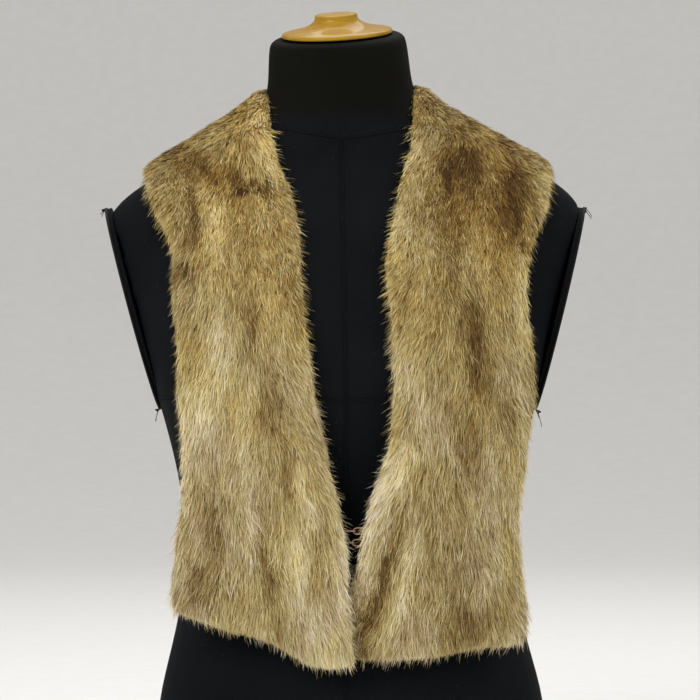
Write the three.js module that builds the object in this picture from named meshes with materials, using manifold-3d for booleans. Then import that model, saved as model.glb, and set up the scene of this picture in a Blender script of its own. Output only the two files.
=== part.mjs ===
// Fur collar stole, worn open over a limbless dress form.
// Millimetres, +Z up, the front towards -Y. Sides are the wearer's: the right front is on -X.
// The form's base is flat on z = 0, and the origin is under the middle of the whole part.
import * as THREE from 'three';
import Module from 'manifold-3d';
import { mergeVertices } from 'three/addons/utils/BufferGeometryUtils.js';

const wasm = await Module();
wasm.setup();

// Driving sizes
const clearance = 0.8;          // fur's leather side to the form
const seamGap = 0.3;            // between pieces that meet
const pile = 12;                // leather and fur together, away from the edges
const edgeWall = 3.5;           // fur's thickness right at a free edge
const edgeRound = 11;           // how far in from an edge the fur reaches its full height
const neckTop = 620;            // top of the form's neck on its middle line
const neckRound = 9;            // round edge of the neck's top
const leanStart = 585;          // the neck leans above this height
const leanSide = Math.tan(THREE.MathUtils.degToRad(2.4));
const leanForward = Math.tan(THREE.MathUtils.degToRad(12.5));
const shoulderLean = Math.tan(THREE.MathUtils.degToRad(1.1));
const shoulderLeanFrom = 300;   // the right shoulder sits a little lower than the left
const shoulderLeanFull = 460;
const baseRound = 4;

// Dress form, a row for each level: half is half the width, front and back are depths from the
// middle, square is the oval's exponent, and middle is where its centre lies along X.
const formLevels = [
  { z: 0, half: 155, front: 108, back: 112, square: 2.3, middle: 5 },
  { z: 45, half: 158, front: 112, back: 117, square: 2.3, middle: 5 },
  { z: 95, half: 153, front: 109, back: 115, square: 2.3, middle: 5 },
  { z: 140, half: 141, front: 101, back: 104, square: 2.3, middle: 4 },
  { z: 200, half: 132, front: 93, back: 88, square: 2.3, middle: 4 },
  { z: 262, half: 137.5, front: 102, back: 86, square: 2.3, middle: 4 },
  { z: 328, half: 152, front: 121, back: 92, square: 2.35, middle: 2 },
  { z: 372, half: 164, front: 120, back: 96, square: 2.4, middle: 1 },
  { z: 420, half: 178, front: 108, back: 98, square: 2.5, middle: 0 },
  { z: 455, half: 187, front: 92, back: 93, square: 2.5, middle: 0 },
  { z: 474, half: 189, front: 82, back: 87, square: 2.5, middle: 0 },
  { z: 487, half: 183, front: 73, back: 81, square: 2.45, middle: 0 },
  { z: 500, half: 167, front: 66, back: 75, square: 2.4, middle: 0 },
  { z: 520, half: 134, front: 60, back: 69, square: 2.3, middle: -1 },
  { z: 540, half: 100, front: 57, back: 63, square: 2.2, middle: -2 },
  { z: 554, half: 77, front: 55.5, back: 60, square: 2.1, middle: -3 },
  { z: 566, half: 64, front: 55, back: 58, square: 2, middle: -3 },
  { z: 580, half: 58.5, front: 55, back: 57, square: 2, middle: -4 },
  { z: 622, half: 55.5, front: 56, back: 56, square: 2, middle: -6.3 },
];

// The surface that the fronts fall on: the form as far down as the bust, then nearly straight down.
const fallLevels = [
  { z: 60, half: 172, front: 116, back: 100, square: 2.4, middle: 0 },
  { z: 140, half: 174, front: 118, back: 100, square: 2.4, middle: 0 },
  { z: 250, half: 176, front: 121.5, back: 100, square: 2.4, middle: 0 },
  { z: 328, half: 178, front: 123, back: 100, square: 2.4, middle: 0 },
  { z: 372, half: 180, front: 121, back: 100, square: 2.4, middle: 0 },
  { z: 420, half: 182, front: 109, back: 100, square: 2.5, middle: 0 },
  ...formLevels.filter((row) => row.z >= 455),
];

// Edges of the two fronts in front view. inner is the edge at the opening, outer at the arm side.
const rightFrontEdges = [
  { z: 123, inner: 10.1, outer: -127 }, { z: 162, inner: 7.4, outer: -129.5 },
  { z: 178, inner: 6.2, outer: -132.4 }, { z: 200, inner: 4.8, outer: -131.4 },
  { z: 222, inner: 2.4, outer: -129 }, { z: 241, inner: -0.6, outer: -126.8 },
  { z: 262, inner: -6, outer: -124.4 }, { z: 286, inner: -11.5, outer: -124.2 },
  { z: 309, inner: -15.6, outer: -125.7 }, { z: 340, inner: -21.2, outer: -128.1 },
  { z: 367, inner: -24.5, outer: -128.3 }, { z: 390, inner: -27.4, outer: -130.4 },
  { z: 411, inner: -29.4, outer: -134 }, { z: 438, inner: -31, outer: -133.8 },
  { z: 455, inner: -32, outer: -139.7 }, { z: 468, inner: -33.5, outer: -146.4 },
  { z: 487, inner: -38.8, outer: -154.5 }, { z: 506, inner: -44.5, outer: -157.5 },
  { z: 525, inner: -50.1, outer: -157.5 }, { z: 545, inner: -57.5, outer: -157.5 },
];
const leftFrontEdges = [
  { z: 123, inner: -6, outer: 136 }, { z: 145, inner: -5.2, outer: 137.5 },
  { z: 160, inner: -3.6, outer: 140 }, { z: 176, inner: -1.6, outer: 138.3 },
  { z: 200, inner: 4.2, outer: 135 }, { z: 218, inner: 10.1, outer: 133.6 },
  { z: 235, inner: 13.2, outer: 133.6 }, { z: 258, inner: 19.6, outer: 135 },
  { z: 280, inner: 26.8, outer: 138.2 }, { z: 300, inner: 33, outer: 139.7 },
  { z: 320, inner: 33.8, outer: 143 }, { z: 340, inner: 33.8, outer: 145.2 },
  { z: 367, inner: 33.6, outer: 143.6 }, { z: 402, inner: 31.2, outer: 140.8 },
  { z: 424, inner: 28.8, outer: 141.2 }, { z: 448, inner: 31.1, outer: 147 },
  { z: 468, inner: 35.8, outer: 154.2 }, { z: 487, inner: 38.3, outer: 162 },
  { z: 506, inner: 42.4, outer: 163.5 }, { z: 525, inner: 49.5, outer: 163.5 },
  { z: 545, inner: 52.2, outer: 163.5 },
];

// Hems, along each front from the inner edge (0) to the outer edge (1).
const rightHem = [
  { across: 0, z: 126 }, { across: 0.14, z: 123.6 }, { across: 0.28, z: 126.2 },
  { across: 0.38, z: 134.5 }, { across: 0.52, z: 144.5 }, { across: 0.68, z: 149.5 },
  { across: 0.84, z: 156.8 }, { across: 0.94, z: 161 }, { across: 1, z: 166 },
];
const leftHem = [
  { across: 0, z: 128 }, { across: 0.2, z: 129 }, { across: 0.38, z: 129.5 },
  { across: 0.56, z: 132.2 }, { across: 0.76, z: 137.6 }, { across: 0.93, z: 137.5 },
  { across: 1, z: 141.5 },
];

// The back and neck piece, stations from the right shoulder seam round to the left one.
// Each goes from the neck edge to the outer edge.
const yokeStations = [
  { at: 0, neck: [-57.5, -50, 543], outer: [-155, -16, 500] },
  { at: 0.11, neck: [-62, -26, 569], outer: [-158, 12, 496] },
  { at: 0.21, neck: [-60, 8, 580], outer: [-152, 44, 484] },
  { at: 0.33, neck: [-45, 38, 583], outer: [-124, 72, 461] },
  { at: 0.5, neck: [-3, 56, 584], outer: [0, 96, 434] },
  { at: 0.67, neck: [38, 38, 584], outer: [126, 72, 463] },
  { at: 0.79, neck: [53, 8, 582], outer: [156, 44, 488] },
  { at: 0.89, neck: [55, -26, 571], outer: [163, 12, 500] },
  { at: 1, neck: [52, -50, 544], outer: [161, -16, 504] },
];

// Largest folds, in front view: a trough has a positive depth, a ridge a negative one.
const rightFrontFolds = [
  { from: [-106, 518], to: [-120, 494], width: 10, depth: 4.5 },
  { from: [-117, 494], to: [-112, 448], width: 7, depth: 3.2 },
  { from: [-84, 500], to: [-54, 500], width: 7, depth: 3 },
  { from: [-84, 430], to: [-92, 330], width: 9, depth: 1.6 },
  { from: [-58, 400], to: [-50, 270], width: 11, depth: -1.6 },
  { from: [-102, 290], to: [-106, 190], width: 10, depth: 1.8 },
  { from: [-46, 260], to: [-38, 170], width: 9, depth: 1.7 },
  { from: [-104, 182], to: [-102, 164], width: 6, depth: 3 },
];
const leftFrontFolds = [
  { from: [80, 522], to: [85, 494], width: 6, depth: 4 },
  { from: [108, 520], to: [112, 500], width: 8, depth: 3 },
  { from: [118, 500], to: [128, 450], width: 9, depth: 2 },
  { from: [74, 470], to: [70, 330], width: 9, depth: 1.6 },
  { from: [103, 440], to: [106, 300], width: 10, depth: 1.5 },
  { from: [44, 252], to: [26, 178], width: 9, depth: 3.4 },
  { from: [58, 262], to: [40, 190], width: 9, depth: -2.2 },
  { from: [42, 286], to: [110, 280], width: 8, depth: 1.6 },
  { from: [92, 176], to: [100, 150], width: 10, depth: 2.2 },
];

const shoulderFolds = [...rightFrontFolds, ...leftFrontFolds];

// Where the right front laps over the left one, below the hooks
const lapTop = 222;
const lapFull = 197;
const lapLift = 6.6;
const lapPile = 4.6;            // the left front's fur, pressed flat under the lap
const lapReach = 26;            // how far out from the middle the lap's lift fades away

// Arm plates
const plateTop = 485;
const plateBottom = 318;
const plateHalfDepth = 52;
const plateSink = 3;            // depth of the seat in the form
const plateProud = 2;           // the plate's rim stands this far out of the seat
const plateDome = 1.5;
const plateMiddleY = 2;

// Hook-and-eye closures
const wireRadius = 0.55;
const wireSides = 6;
const hookBend = 1.5;           // from the hook's middle line to the eye's end bar
const closures = [
  { name: 'upper', z: 228, gapFrom: 1.2, eyeEnd: 6.5, eyeBase: 24, halfHeight: 2.4 },
  { name: 'lower', z: 219, gapFrom: 1.4, eyeEnd: 5.6, eyeBase: 23, halfHeight: 2.4 },
];

// Mesh steps
const formRingPoints = 44;
const frontRows = 34;
const frontColumns = 16;
const yokeRows = 12;
const yokeColumns = 44;

const colours = {
  fur: new THREE.Color(0.64, 0.55, 0.36),
  jersey: new THREE.Color(0.02, 0.022, 0.026),
  wood: new THREE.Color(0.72, 0.5, 0.2),
  thread: new THREE.Color(0.55, 0.4, 0.3),
};

const clamp = THREE.MathUtils.clamp;
const mix = THREE.MathUtils.lerp;
const ramp = (value, low, high) => THREE.MathUtils.smoothstep(value, low, high);

// Smooth value of one column of a table whose rows rise along another column.
function column(rows, along, key, at) {
  const x = clamp(at, rows[0][along], rows[rows.length - 1][along]);
  let i = 0;
  while (i < rows.length - 2 && x > rows[i + 1][along]) i += 1;
  const slope = (j) => {
    const before = rows[Math.max(j - 1, 0)];
    const after = rows[Math.min(j + 1, rows.length - 1)];
    return (after[key] - before[key]) / (after[along] - before[along]);
  };
  const width = rows[i + 1][along] - rows[i][along];
  const t = (x - rows[i][along]) / width;
  const t2 = t * t;
  const t3 = t2 * t;
  return (2 * t3 - 3 * t2 + 1) * rows[i][key] + (t3 - 2 * t2 + t) * width * slope(i)
    + (3 * t2 - 2 * t3) * rows[i + 1][key] + (t3 - t2) * width * slope(i + 1);
}

function levelAt(levels, z) {
  const level = {};
  for (const key of ['half', 'front', 'back', 'square', 'middle']) {
    level[key] = column(levels, 'z', key, z);
  }
  return level;
}

const shoulderRise = (x, z) => x * shoulderLean * ramp(z, shoulderLeanFrom, shoulderLeanFull);

// How far a point lies outside the stacked ovals, as a share of the oval's size.
function outside(levels, point) {
  const level = levelAt(levels, point.z - shoulderRise(point.x, point.z));
  const depth = point.y < 0 ? level.front : level.back;
  const across = Math.abs(point.x - level.middle) / level.half;
  const along = Math.abs(point.y) / depth;
  return (across ** level.square + along ** level.square) ** (1 / level.square) - 1;
}

function slopeAt(levels, point) {
  const step = 0.5;
  const slope = new THREE.Vector3();
  for (const axis of ['x', 'y', 'z']) {
    const ahead = point.clone();
    const behind = point.clone();
    ahead[axis] += step;
    behind[axis] -= step;
    slope[axis] = (outside(levels, ahead) - outside(levels, behind)) / (2 * step);
  }
  return slope;
}

// Moves a point straight onto the surface that lies a given distance outside the ovals.
function settle(levels, start, distance) {
  const point = start.clone();
  for (let i = 0; i < 12; i += 1) {
    const slope = slopeAt(levels, point);
    const steep = slope.length();
    const error = outside(levels, point) / steep - distance;
    point.addScaledVector(slope.divideScalar(steep), -error);
  }
  return { point, normal: slopeAt(levels, point).normalize() };
}

// Front of the ovals straight behind a spot of the front view.
function frontOf(levels, x, z) {
  const level = levelAt(levels, z - shoulderRise(x, z));
  const across = Math.min(Math.abs(x - level.middle) / level.half, 0.97);
  return -level.front * (1 - across ** level.square) ** (1 / level.square);
}

// Steps from 0 to 1 that lie closer together towards both ends.
function easedSteps(count) {
  const steps = [];
  for (let i = 0; i <= count; i += 1) {
    const t = i / count;
    steps.push(mix(t, (1 - Math.cos(Math.PI * t)) / 2, 0.75));
  }
  return steps;
}

function roundEdge(distance) {
  const t = clamp(distance / edgeRound, 0, 1);
  return Math.sqrt(1 - (1 - t) ** 2);
}

function foldDepth(folds, x, z) {
  let depth = 0;
  for (const fold of folds) {
    const dx = fold.to[0] - fold.from[0];
    const dz = fold.to[1] - fold.from[1];
    const t = ((x - fold.from[0]) * dx + (z - fold.from[1]) * dz) / (dx * dx + dz * dz);
    const held = clamp(t, 0, 1);
    const offX = x - fold.from[0] - held * dx;
    const offZ = z - fold.from[1] - held * dz;
    depth += fold.depth * Math.exp(-(offX * offX + offZ * offZ) / fold.width ** 2);
  }
  return depth;
}

function geometryFrom(points, triangles) {
  const positions = new Float32Array(points.length * 3);
  points.forEach((point, i) => point.toArray(positions, i * 3));
  const geometry = new THREE.BufferGeometry();
  geometry.setAttribute('position', new THREE.BufferAttribute(positions, 3));
  geometry.setIndex(triangles);
  return facesOut(geometry);
}

// Turns the faces round if they enclose a negative volume.
function facesOut(geometry) {
  const position = geometry.attributes.position;
  const index = geometry.index.array;
  const a = new THREE.Vector3();
  const b = new THREE.Vector3();
  const c = new THREE.Vector3();
  let volume = 0;
  for (let i = 0; i < index.length; i += 3) {
    a.fromBufferAttribute(position, index[i]);
    b.fromBufferAttribute(position, index[i + 1]);
    c.fromBufferAttribute(position, index[i + 2]);
    volume += a.dot(b.cross(c));
  }
  if (volume < 0) geometry.setIndex(Array.from(index).reverse());
  geometry.computeVertexNormals();
  return geometry;
}

// Closed wall between an inner and an outer skin, each a grid of rows of points.
function wallFrom(inner, outer) {
  const rows = inner.length;
  const columns = inner[0].length;
  const points = [...inner.flat(), ...outer.flat()];
  const triangles = [];
  const far = rows * columns;
  const at = (row, col) => row * columns + col;
  const quad = (a, b, c, d) => triangles.push(a, b, c, a, c, d);
  for (let row = 0; row < rows - 1; row += 1) {
    for (let col = 0; col < columns - 1; col += 1) {
      const [a, b, c, d] = [at(row, col), at(row, col + 1), at(row + 1, col + 1), at(row + 1, col)];
      quad(a, b, c, d);
      quad(far + d, far + c, far + b, far + a);
    }
    quad(at(row, 0), at(row + 1, 0), far + at(row + 1, 0), far + at(row, 0));
    quad(at(row + 1, columns - 1), at(row, columns - 1),
      far + at(row, columns - 1), far + at(row + 1, columns - 1));
  }
  for (let col = 0; col < columns - 1; col += 1) {
    quad(at(0, col + 1), at(0, col), far + at(0, col), far + at(0, col + 1));
    quad(at(rows - 1, col), at(rows - 1, col + 1),
      far + at(rows - 1, col + 1), far + at(rows - 1, col));
  }
  return geometryFrom(points, triangles);
}

// Stacked rings with a flat fan at each end.
function solidFromRings(rings) {
  const count = rings[0].length;
  const points = rings.flat();
  const triangles = [];
  for (let ring = 0; ring < rings.length - 1; ring += 1) {
    for (let i = 0; i < count; i += 1) {
      const next = (i + 1) % count;
      const low = ring * count;
      const high = low + count;
      triangles.push(low + i, low + next, high + next, low + i, high + next, high + i);
    }
  }
  const middle = (ring) => ring.reduce((sum, p) => sum.add(p), new THREE.Vector3())
    .divideScalar(count);
  const bottom = points.push(middle(rings[0])) - 1;
  const top = points.push(middle(rings[rings.length - 1])) - 1;
  const last = (rings.length - 1) * count;
  for (let i = 0; i < count; i += 1) {
    const next = (i + 1) % count;
    triangles.push(bottom, next, i, top, last + i, last + next);
  }
  return geometryFrom(points, triangles);
}

// The neck's lean: nothing at its root, the whole angle at its top.
function leaned(x, y, z) {
  const share = ramp(z, leanStart, neckTop);
  const middle = levelAt(formLevels, z).middle;
  const lean = share * ((x - middle) * leanSide + y * leanForward);
  return new THREE.Vector3(x, y, z + shoulderRise(x, z) + lean);
}

function formRing(z, inset) {
  const level = levelAt(formLevels, z);
  const ring = [];
  for (let i = 0; i < formRingPoints; i += 1) {
    const angle = (2 * Math.PI * i) / formRingPoints;
    const cos = Math.cos(angle);
    const sin = Math.sin(angle);
    const depth = sin < 0 ? level.front : level.back;
    const power = 2 / level.square;
    const x = Math.sign(cos) * Math.abs(cos) ** power * (level.half - inset) + level.middle;
    const y = Math.sign(sin) * Math.abs(sin) ** power * (depth - inset);
    ring.push(leaned(x, y, z));
  }
  return ring;
}

function toManifold(geometry) {
  const plain = geometry.clone();
  plain.deleteAttribute('normal');
  plain.deleteAttribute('uv');
  const merged = mergeVertices(plain, 1e-4);
  return new wasm.Manifold(new wasm.Mesh({
    numProp: 3,
    vertProperties: new Float32Array(merged.attributes.position.array),
    triVerts: new Uint32Array(merged.index.array),
  }));
}

function fromManifold(solid) {
  const mesh = solid.getMesh();
  const geometry = new THREE.BufferGeometry();
  geometry.setAttribute('position', new THREE.BufferAttribute(mesh.vertProperties, 3));
  geometry.setIndex(Array.from(mesh.triVerts));
  geometry.computeVertexNormals();
  return geometry;
}

// A flat oval disc for one armhole, its flat side at local z = 0 and its dome outwards.
function plateDisc(grow, bottom, rim, dome) {
  const halfHeight = (plateTop - plateBottom) / 2 + grow;
  const halfDepth = plateHalfDepth + grow;
  const profile = [
    { share: 1, lift: bottom },
    { share: 1, lift: rim - 0.8 },
    { share: 0.985, lift: rim },
    { share: 0.7, lift: rim + dome * 0.5 },
    { share: 0.35, lift: rim + dome * 0.9 },
  ];
  const rings = profile.map((step) => {
    const ring = [];
    for (let i = 0; i < 32; i += 1) {
      const angle = (2 * Math.PI * i) / 32;
      ring.push(new THREE.Vector3(
        Math.cos(angle) * halfDepth * step.share,
        Math.sin(angle) * halfHeight * step.share,
        step.lift,
      ));
    }
    return ring;
  });
  return solidFromRings(rings);
}

// Puts an armhole disc on the form's side, +1 for the wearer's left and -1 for the right.
function placePlate(geometry, side) {
  const atTop = levelAt(formLevels, plateTop - 12);
  const atBottom = levelAt(formLevels, plateBottom + 6);
  const topX = side * (atTop.half - plateSink) + atTop.middle;
  const bottomX = side * (atBottom.half - plateSink) + atBottom.middle;
  const up = new THREE.Vector3(topX - bottomX, 0, plateTop - plateBottom - 18).normalize();
  const ahead = new THREE.Vector3(0, side, 0);
  const out = ahead.clone().cross(up).normalize();
  const middle = new THREE.Vector3((topX + bottomX) / 2, plateMiddleY, (plateTop + plateBottom) / 2);
  const matrix = new THREE.Matrix4().makeBasis(ahead, up, out).setPosition(middle);
  return facesOut(geometry.applyMatrix4(matrix));
}

function makeFormBody() {
  const levels = [];
  for (let z = baseRound; z < 460; z += 23) levels.push(z);
  for (let z = 464; z < 605; z += 8.5) levels.push(z);
  const rings = [formRing(0, baseRound), ...levels.map((z) => formRing(z, 0))];
  for (let step = 1; step <= 4; step += 1) {
    const angle = (step / 4) * (Math.PI / 2);
    rings.push(formRing(neckTop - neckRound + Math.sin(angle) * neckRound,
      neckRound * (1 - Math.cos(angle))));
  }
  let body = toManifold(solidFromRings(rings));
  for (const side of [-1, 1]) {
    body = body.subtract(toManifold(placePlate(plateDisc(seamGap, 0, 40, 0), side)));
  }
  return fromManifold(body);
}

function makeCap() {
  const profile = [
    [0, 0], [44, 0], [45, 1], [45, 3], [43.6, 4.2], [34, 5.6], [26, 7.6], [21, 10],
    [18.2, 12.4], [17, 14.6], [17.3, 16.8], [16.6, 17.6], [0, 17.6],
  ].map(([x, y]) => new THREE.Vector2(x, y));
  const cap = new THREE.LatheGeometry(profile, 32);
  cap.deleteAttribute('normal');
  cap.deleteAttribute('uv');
  const merged = mergeVertices(cap.rotateX(Math.PI / 2), 1e-4);
  const middle = levelAt(formLevels, neckTop).middle;
  const seat = leaned(middle, 0, neckTop);
  const normal = new THREE.Vector3(-leanSide - shoulderLean, -leanForward, 1).normalize();
  const turn = new THREE.Quaternion().setFromUnitVectors(new THREE.Vector3(0, 0, 1), normal);
  merged.applyQuaternion(turn);
  const lifted = seat.addScaledVector(normal, seamGap + 0.05);
  merged.translate(lifted.x, lifted.y, lifted.z);
  return facesOut(merged);
}

// Skin points of one front. spec says its edges, hem, folds and side.
function makeFront(spec) {
  const { edges, hem, folds, seam } = spec;
  const inner = [];
  const outer = [];
  const down = easedSteps(frontRows);
  const across = easedSteps(frontColumns);
  for (const v of down) {
    const innerRow = [];
    const outerRow = [];
    for (const u of across) {
      const top = mix(seam.neck[2], seam.outer[2], u);
      const bottom = column(hem, 'across', 'z', u);
      const z = mix(top, bottom, v);
      const innerX = column(edges, 'z', 'inner', z);
      const outerX = column(edges, 'z', 'outer', z);
      const width = Math.abs(outerX - innerX);
      const sideX = mix(innerX, outerX, u);
      const seamX = mix(seam.neck[0], seam.outer[0], u);
      const x = mix(seamX, sideX, ramp(v, 0, 0.12));
      const flatY = frontOf(fallLevels, x, z);
      const seamY = mix(seam.neck[1], seam.outer[1], u);
      const guess = new THREE.Vector3(x, mix(seamY, flatY, ramp(v, 0, 0.05)), z);
      const { point, normal } = settle(fallLevels, guess, clearance + spec.lift(x, z));
      const hemDistance = (1 - v) * (top - bottom);
      const rounding = roundEdge(u * width) * roundEdge((1 - u) * width) * roundEdge(hemDistance);
      const full = spec.pile(x, z) - foldDepth(folds, x, z);
      innerRow.push(point);
      outerRow.push(point.clone().addScaledVector(normal, mix(edgeWall, full, rounding)));
    }
    inner.push(innerRow);
    outer.push(outerRow);
  }
  const shift = seamGap / 2;
  for (const grid of [inner, outer]) {
    grid[0].forEach((point, i) => {
      point.addScaledVector(grid[1][i].clone().sub(point).normalize(), shift);
    });
  }
  return wallFrom(inner, outer);
}

function yokePoint(key, at) {
  const along = (axis) => {
    const rows = yokeStations.map((station) => ({ at: station.at, value: station[key][axis] }));
    return column(rows, 'at', 'value', at);
  };
  return new THREE.Vector3(along(0), along(1), along(2));
}

function makeYoke() {
  const inner = [];
  const outer = [];
  const round = easedSteps(yokeColumns);
  const out = easedSteps(yokeRows);
  for (const s of round) {
    const innerRow = [];
    const outerRow = [];
    const neckEdge = yokePoint('neck', s);
    const outerEdge = yokePoint('outer', s);
    for (const t of out) {
      const guess = neckEdge.clone().lerp(outerEdge, t);
      const { point, normal } = settle(formLevels, guess, clearance);
      const width = neckEdge.distanceTo(outerEdge);
      const rounding = roundEdge(t * width) * roundEdge((1 - t) * width);
      const inFront = ramp(-point.y, -10, 20);
      const full = pile - foldDepth(shoulderFolds, point.x, point.z) * inFront;
      innerRow.push(point);
      outerRow.push(point.clone().addScaledVector(normal, mix(edgeWall, full, rounding)));
    }
    inner.push(innerRow);
    outer.push(outerRow);
  }
  const last = inner.length - 1;
  for (const grid of [inner, outer]) {
    for (const [edge, next] of [[0, 1], [last, last - 1]]) {
      grid[edge].forEach((point, i) => {
        point.addScaledVector(grid[next][i].clone().sub(point).normalize(), seamGap / 2);
      });
    }
  }
  return wallFrom(inner, outer);
}

// A wire of six sides along a list of points.
function wireAlong(points, closed) {
  const section = new THREE.Shape();
  for (let i = 0; i < wireSides; i += 1) {
    const angle = (2 * Math.PI * i) / wireSides;
    const [x, y] = [Math.cos(angle) * wireRadius, Math.sin(angle) * wireRadius];
    if (i === 0) section.moveTo(x, y);
    else section.lineTo(x, y);
  }
  const path = new THREE.CatmullRomCurve3(points, closed, 'centripetal');
  const wire = new THREE.ExtrudeGeometry(section, { steps: points.length * 2, extrudePath: path });
  wire.deleteAttribute('normal');
  wire.deleteAttribute('uv');
  return facesOut(mergeVertices(wire, 1e-4));
}

function skinBehind(x, z) {
  const start = new THREE.Vector3(x, frontOf(fallLevels, x, z), z);
  return settle(fallLevels, start, clearance).point.y;
}

// The eye is a flat loop behind the left front's edge.
function makeEye(closure) {
  const y = skinBehind(closure.eyeBase, closure.z) + wireRadius + seamGap + 0.3;
  const { eyeEnd, eyeBase, halfHeight, z } = closure;
  const points = [
    [eyeEnd, 0], [eyeEnd + 0.7, 0.8], [eyeEnd + 3, 1], [eyeBase - 5, 0.85], [eyeBase, 0.7],
    [eyeBase + 1, 0], [eyeBase, -0.7], [eyeBase - 5, -0.85], [eyeEnd + 3, -1], [eyeEnd + 0.7, -0.8],
  ].map(([x, share]) => new THREE.Vector3(x, y, z + share * halfHeight));
  return wireAlong(points, true);
}

// The hook comes from behind the right front's edge and bends round the eye's end bar.
function makeHook(closure) {
  const y = skinBehind(closure.eyeBase, closure.z) + wireRadius + seamGap + 0.3;
  const { eyeEnd, z, gapFrom } = closure;
  const behind = y + hookBend;
  const points = [
    new THREE.Vector3(gapFrom - 16, behind, z + 2.2),
    new THREE.Vector3(gapFrom - 10, behind, z + 1.2),
    new THREE.Vector3(gapFrom - 4, behind, z),
    new THREE.Vector3(eyeEnd - 2, behind, z),
  ];
  for (let step = 0; step <= 6; step += 1) {
    const angle = (Math.PI * step) / 6;
    points.push(new THREE.Vector3(
      eyeEnd + Math.sin(angle) * hookBend, y + Math.cos(angle) * hookBend, z));
  }
  points.push(new THREE.Vector3(eyeEnd - 2.5, y - hookBend, z));
  return wireAlong(points, false);
}

const lapShare = (x, z) => ramp(-z, -lapTop, -lapFull) * (1 - ramp(Math.abs(x), 10, 10 + lapReach));

const rightFront = {
  edges: rightFrontEdges,
  hem: rightHem,
  folds: rightFrontFolds,
  seam: yokeStations[0],
  lift: (x, z) => lapLift * lapShare(x, z),
  pile: () => pile,
};
const leftFront = {
  edges: leftFrontEdges,
  hem: leftHem,
  folds: leftFrontFolds,
  seam: yokeStations[yokeStations.length - 1],
  lift: () => 0,
  pile: (x, z) => mix(pile, lapPile, ramp(-z, -lapTop - 10, -lapFull) * (1 - ramp(x, 12, 30))),
};

function material(colour, roughness) {
  return new THREE.MeshStandardMaterial({ color: colour, roughness, metalness: 0 });
}

const stole = new THREE.Group();

function add(name, geometry, finish) {
  const mesh = new THREE.Mesh(geometry, finish);
  mesh.name = name;
  stole.add(mesh);
}

add('form_body', makeFormBody(), material(colours.jersey, 0.85));
add('right_arm_plate', placePlate(plateDisc(0, seamGap, plateSink + plateProud, plateDome), -1),
  material(colours.jersey, 0.85));
add('left_arm_plate', placePlate(plateDisc(0, seamGap, plateSink + plateProud, plateDome), 1),
  material(colours.jersey, 0.85));
add('form_cap', makeCap(), material(colours.wood, 0.35));
add('back_yoke', makeYoke(), material(colours.fur, 0.9));
add('right_front', makeFront(rightFront), material(colours.fur, 0.9));
add('left_front', makeFront(leftFront), material(colours.fur, 0.9));
for (const closure of closures) {
  add(`hook_${closure.name}`, makeHook(closure), material(colours.thread, 0.7));
  add(`eye_${closure.name}`, makeEye(closure), material(colours.thread, 0.7));
}

// Puts the origin under the middle of the whole part.
const box = new THREE.Box3().setFromObject(stole);
stole.position.set(-(box.min.x + box.max.x) / 2, -(box.min.y + box.max.y) / 2, 0);
stole.updateMatrixWorld(true);

export default stole;
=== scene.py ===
import math
from collections import namedtuple
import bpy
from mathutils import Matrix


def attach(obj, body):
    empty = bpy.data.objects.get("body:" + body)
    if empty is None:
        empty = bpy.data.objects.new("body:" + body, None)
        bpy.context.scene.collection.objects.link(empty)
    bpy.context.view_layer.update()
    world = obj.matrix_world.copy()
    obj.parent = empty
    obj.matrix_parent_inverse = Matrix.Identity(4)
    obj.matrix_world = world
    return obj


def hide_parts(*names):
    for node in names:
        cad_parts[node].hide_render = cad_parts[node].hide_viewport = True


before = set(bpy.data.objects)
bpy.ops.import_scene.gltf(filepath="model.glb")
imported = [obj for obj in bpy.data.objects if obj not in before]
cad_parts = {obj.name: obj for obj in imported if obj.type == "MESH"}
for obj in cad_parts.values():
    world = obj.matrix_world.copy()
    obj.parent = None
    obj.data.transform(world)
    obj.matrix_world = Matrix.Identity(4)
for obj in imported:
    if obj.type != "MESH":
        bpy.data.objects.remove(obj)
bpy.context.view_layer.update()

from types import SimpleNamespace as Numbers

import bmesh
import bpy
import numpy as np
from mathutils import Matrix, Vector, kdtree
from mathutils.bvhtree import BVHTree

bl_info = {
    "name": "Fur collar stole",
    "version": (1, 0, 0),
    "blender": (4, 5, 0),
    "location": "3D View > Sidebar > Stole",
    "description": "Builds a short-haired fur collar stole, worn open over a limbless dress form",
    "category": "Object",
}

# Fur pieces: the cut of what shows and its area, in metres, hairs of each kind, mean tone, random seed
FurPiece = namedtuple("FurPiece", "node flat cut_area under_count guard_count tone seed")
FUR_PIECES = [
    FurPiece("right_front", (0.150, 0.455), 0.052, 56000, 29000, 0.55, 11),
    FurPiece("left_front", (0.155, 0.445), 0.055, 56000, 29000, 0.51, 23),
    FurPiece("back_yoke", (0.370, 0.240), 0.059, 44000, 22000, 0.48, 37),
]
# What strands grow on: a piece, its skin's mesh, leather side, rim and fur side, and what lies over it
Pelt = namedtuple("Pelt", "piece mesh leather rim skin covers")

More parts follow.
